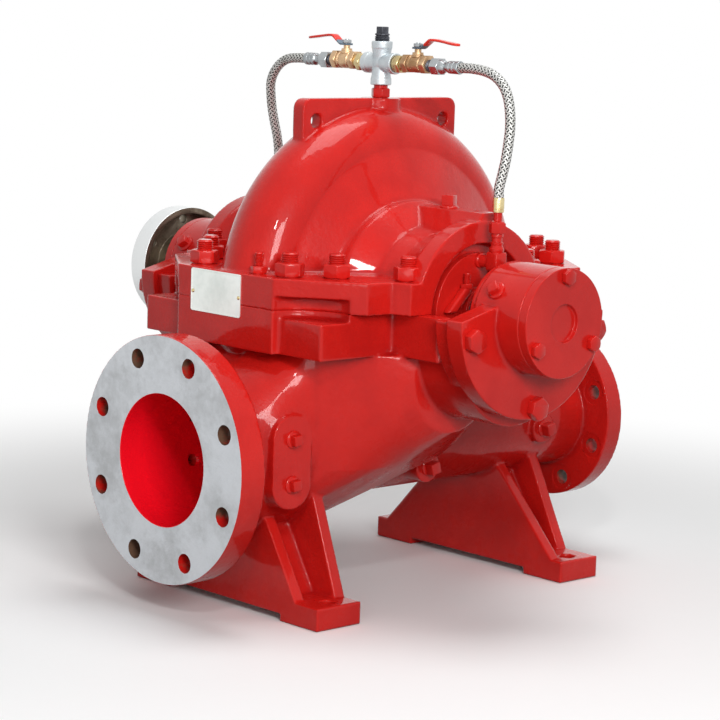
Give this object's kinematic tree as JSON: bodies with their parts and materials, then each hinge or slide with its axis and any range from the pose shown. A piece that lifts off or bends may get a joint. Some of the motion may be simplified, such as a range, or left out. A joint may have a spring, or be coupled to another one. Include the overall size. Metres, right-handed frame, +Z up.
{
  "type": "split case pump",
  "caption": "Horizontal split case pump: red cast casing with flanged suction and discharge nozzles on feet, bearing housings, coupling hub and valved seal flush hoses.",
  "frame": {"origin": "middle of the four foot bolt holes, on the ground plane that the feet stand on", "axes": "+X along the shaft away from the coupling, -Y out of the suction flange, +Y out of the discharge flange, +Z up"},
  "size_m": [0.691, 0.66, 0.671],
  "materials": {
    "casing_paint": "gloss red enamel over cast iron",
    "lever_paint": "gloss red dipped lever",
    "bare_steel": "turned steel",
    "coupling_steel": "turned rim, oiled dark recess",
    "galvanised": "hot dip galvanised",
    "zinc_steel": "zinc plated",
    "black_steel": "black oxide",
    "brass": "bare forged brass",
    "hose_braid": "woven stainless wire"
  },
  "bodies": {
    "root": {"lower_casing": "casing_paint", "upper_casing": "casing_paint", "bearing_housing_outboard": "casing_paint", "bearing_housing_drive": "casing_paint", "bearing_cover_outboard": "casing_paint", "bearing_cover_drive": "casing_paint", "inner_cover_outboard": "casing_paint", "inner_cover_drive": "casing_paint", "seal_gland_outboard": "casing_paint", "seal_gland_drive": "casing_paint", "gland_clips_outboard": "casing_paint", "gland_clips_drive": "casing_paint", "vent_nipple": "casing_paint", "cross_fitting": "galvanised", "cross_plug": "black_steel", "valve_adapter_outboard": "zinc_steel", "valve_adapter_drive": "zinc_steel", "valve_body_outboard": "brass", "valve_body_drive": "brass", "valve_nipple_outboard": "black_steel", "valve_nipple_drive": "black_steel", "hose_nut_outboard": "zinc_steel", "hose_nut_drive": "zinc_steel", "hose_ferrule_outboard": "zinc_steel", "hose_ferrule_drive": "zinc_steel", "flush_hose_outboard": "hose_braid", "flush_hose_drive": "hose_braid", "hose_tail_outboard": "brass", "hose_tail_drive": "brass", "gland_fitting_outboard": "casing_paint", "gland_fitting_drive": "casing_paint", "gland_elbow_outboard": "casing_paint", "gland_elbow_drive": "casing_paint"},
    "rotor": {"shaft": "bare_steel", "coupling_hub": "coupling_steel"},
    "lever_outboard": {"valve_stem_outboard": "brass", "valve_lever_outboard": "lever_paint", "lever_nut_outboard": "zinc_steel"},
    "lever_drive": {"valve_stem_drive": "brass", "valve_lever_drive": "lever_paint", "lever_nut_drive": "zinc_steel"}
  },
  "joints": [
    {"name": "shaft_spin", "type": "hinge", "parent": "root", "child": "rotor", "pos_m": [0, -0.027, 0.355], "axis": [1, 0, 0], "continuous": true},
    {"name": "valve_turn_outboard", "type": "hinge", "parent": "root", "child": "lever_outboard", "pos_m": [0.062, -0.007, 0.647], "axis": [0, 0, -1], "range_deg": [0, 90]},
    {"name": "valve_turn_drive", "type": "hinge", "parent": "root", "child": "lever_drive", "pos_m": [-0.062, -0.007, 0.647], "axis": [0, 0, -1], "range_deg": [0, 90]}
  ]
}
